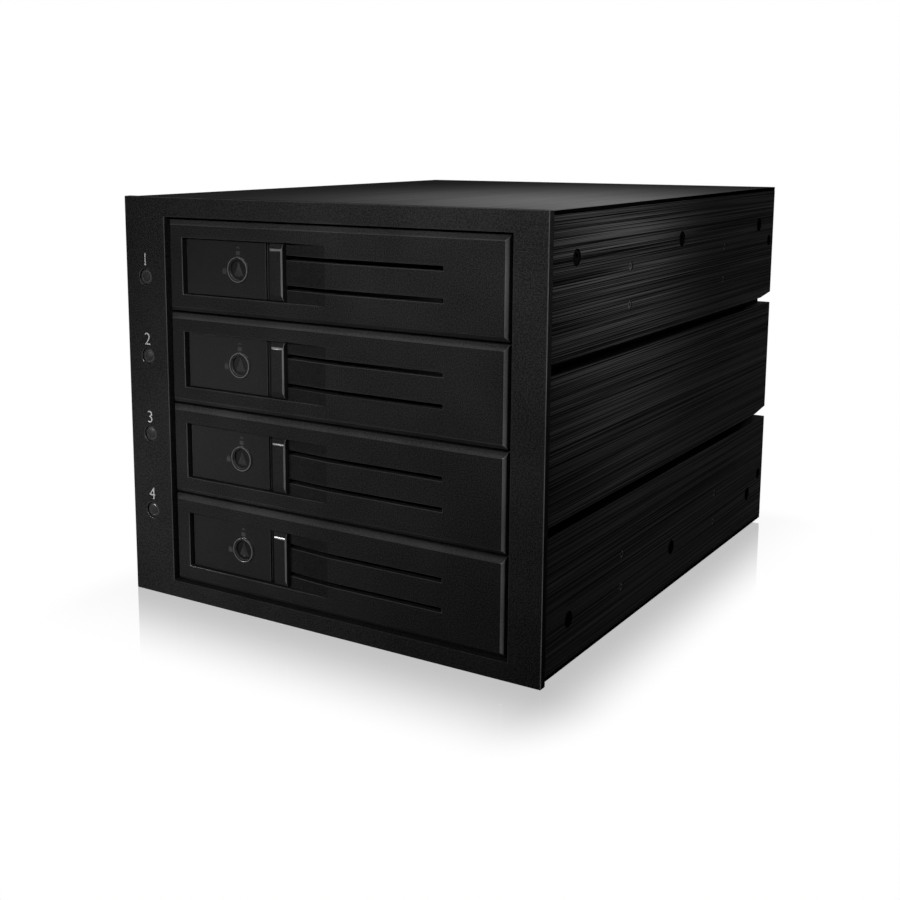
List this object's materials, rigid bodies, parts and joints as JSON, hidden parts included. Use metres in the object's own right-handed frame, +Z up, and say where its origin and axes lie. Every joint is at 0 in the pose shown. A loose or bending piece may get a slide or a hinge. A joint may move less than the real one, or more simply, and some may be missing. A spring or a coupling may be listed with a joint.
{
  "type": "drive bay backplane rack",
  "caption": "Black trayless hard drive rack for 5.25 inch bays: hinged lockable doors with latch levers, status lights, ribbed metal case, backplane and rear fan.",
  "frame": {"origin": "centre of the rack's footprint, at the bottom edge of the bezel", "axes": "+X to the right seen from the front, +Y from the front bezel to the back, +Z up"},
  "size_m": [0.1466, 0.1846, 0.127],
  "materials": {
    "bezel_plastic": "fine moulded grain",
    "door_plastic": "fine moulded grain",
    "lever_plastic": "smooth satin",
    "lock_metal": "dark satin",
    "pin_steel": "ground",
    "spring_steel": "drawn wire",
    "led_lens": "smoked, glossy",
    "side_aluminium": "black anodised, brushed along the depth",
    "cover_metal": "smooth black satin",
    "rear_metal": "smooth black satin",
    "screw_steel": "black oxide",
    "guide_plastic": "moulded",
    "circuit_board": "solder mask",
    "connector_plastic": "moulded",
    "power_plastic": "moulded",
    "fan_plastic": "moulded",
    "ribbon": "ribbed flat cable"
  },
  "bodies": {
    "case": {"front_bezel": "bezel_plastic", "hinge_rod": "pin_steel", "led_lens_1": "led_lens", "led_lens_2": "led_lens", "led_lens_3": "led_lens", "led_lens_4": "led_lens", "left_side_panel": "side_aluminium", "right_side_panel": "side_aluminium", "top_cover": "cover_metal", "bottom_cover": "cover_metal", "rear_plate": "rear_metal", "left_screw_1": "screw_steel", "left_screw_2": "screw_steel", "left_screw_3": "screw_steel", "left_screw_4": "screw_steel", "left_screw_5": "screw_steel", "left_screw_6": "screw_steel", "right_screw_1": "screw_steel", "right_screw_2": "screw_steel", "right_screw_3": "screw_steel", "right_screw_4": "screw_steel", "right_screw_5": "screw_steel", "right_screw_6": "screw_steel", "left_drive_guide": "guide_plastic", "right_drive_guide": "guide_plastic", "backplane_board": "circuit_board", "led_board": "circuit_board", "drive_connector_1": "connector_plastic", "drive_connector_2": "connector_plastic", "drive_connector_3": "connector_plastic", "drive_connector_4": "connector_plastic", "data_port_1": "connector_plastic", "data_port_2": "connector_plastic", "data_port_3": "connector_plastic", "data_port_4": "connector_plastic", "power_socket_1": "power_plastic", "power_socket_2": "power_plastic", "fan_frame": "fan_plastic", "led_ribbon": "ribbon"},
    "door_1_body": {"door_1": "door_plastic", "lever_pin_1": "pin_steel", "lever_spring_1": "spring_steel"},
    "lever_1_body": {"latch_lever_1": "lever_plastic"},
    "lock_1_body": {"lock_plug_1": "lock_metal"},
    "door_2_body": {"door_2": "door_plastic", "lever_pin_2": "pin_steel", "lever_spring_2": "spring_steel"},
    "lever_2_body": {"latch_lever_2": "lever_plastic"},
    "lock_2_body": {"lock_plug_2": "lock_metal"},
    "door_3_body": {"door_3": "door_plastic", "lever_pin_3": "pin_steel", "lever_spring_3": "spring_steel"},
    "lever_3_body": {"latch_lever_3": "lever_plastic"},
    "lock_3_body": {"lock_plug_3": "lock_metal"},
    "door_4_body": {"door_4": "door_plastic", "lever_pin_4": "pin_steel", "lever_spring_4": "spring_steel"},
    "lever_4_body": {"latch_lever_4": "lever_plastic"},
    "lock_4_body": {"lock_plug_4": "lock_metal"},
    "fan_rotor_body": {"fan_rotor": "fan_plastic"}
  },
  "joints": [
    {"name": "door_1_hinge", "type": "hinge", "parent": "case", "child": "door_1_body", "pos_m": [0.057, -0.0876, 0.10633], "axis": [0, 0, 1], "range_deg": [0, 100]},
    {"name": "lever_1_hinge", "type": "hinge", "parent": "door_1_body", "child": "lever_1_body", "pos_m": [-0.0482, -0.0892, 0.10633], "axis": [0, 0, -1], "range_deg": [0, 35], "stiffness_Nm_per_rad": 0.02},
    {"name": "lock_1_turn", "type": "hinge", "parent": "lever_1_body", "child": "lock_1_body", "pos_m": [-0.0294, -0.0904, 0.10622], "axis": [0, -1, 0], "range_deg": [0, 90]},
    {"name": "door_2_hinge", "type": "hinge", "parent": "case", "child": "door_2_body", "pos_m": [0.057, -0.0876, 0.07758], "axis": [0, 0, 1], "range_deg": [0, 100]},
    {"name": "lever_2_hinge", "type": "hinge", "parent": "door_2_body", "child": "lever_2_body", "pos_m": [-0.0482, -0.0892, 0.07758], "axis": [0, 0, -1], "range_deg": [0, 35], "stiffness_Nm_per_rad": 0.02},
    {"name": "lock_2_turn", "type": "hinge", "parent": "lever_2_body", "child": "lock_2_body", "pos_m": [-0.0294, -0.0904, 0.07748], "axis": [0, -1, 0], "range_deg": [0, 90]},
    {"name": "door_3_hinge", "type": "hinge", "parent": "case", "child": "door_3_body", "pos_m": [0.057, -0.0876, 0.04883], "axis": [0, 0, 1], "range_deg": [0, 100]},
    {"name": "lever_3_hinge", "type": "hinge", "parent": "door_3_body", "child": "lever_3_body", "pos_m": [-0.0482, -0.0892, 0.04883], "axis": [0, 0, -1], "range_deg": [0, 35], "stiffness_Nm_per_rad": 0.02},
    {"name": "lock_3_turn", "type": "hinge", "parent": "lever_3_body", "child": "lock_3_body", "pos_m": [-0.0294, -0.0904, 0.04872], "axis": [0, -1, 0], "range_deg": [0, 90]},
    {"name": "door_4_hinge", "type": "hinge", "parent": "case", "child": "door_4_body", "pos_m": [0.057, -0.0876, 0.02007], "axis": [0, 0, 1], "range_deg": [0, 100]},
    {"name": "lever_4_hinge", "type": "hinge", "parent": "door_4_body", "child": "lever_4_body", "pos_m": [-0.0482, -0.0892, 0.02007], "axis": [0, 0, -1], "range_deg": [0, 35], "stiffness_Nm_per_rad": 0.02},
    {"name": "lock_4_turn", "type": "hinge", "parent": "lever_4_body", "child": "lock_4_body", "pos_m": [-0.0294, -0.0904, 0.01997], "axis": [0, -1, 0], "range_deg": [0, 90]},
    {"name": "fan_spin", "type": "hinge", "parent": "case", "child": "fan_rotor_body", "pos_m": [-0.022, 0.08305, 0.064], "axis": [0, 1, 0], "continuous": true}
  ]
}
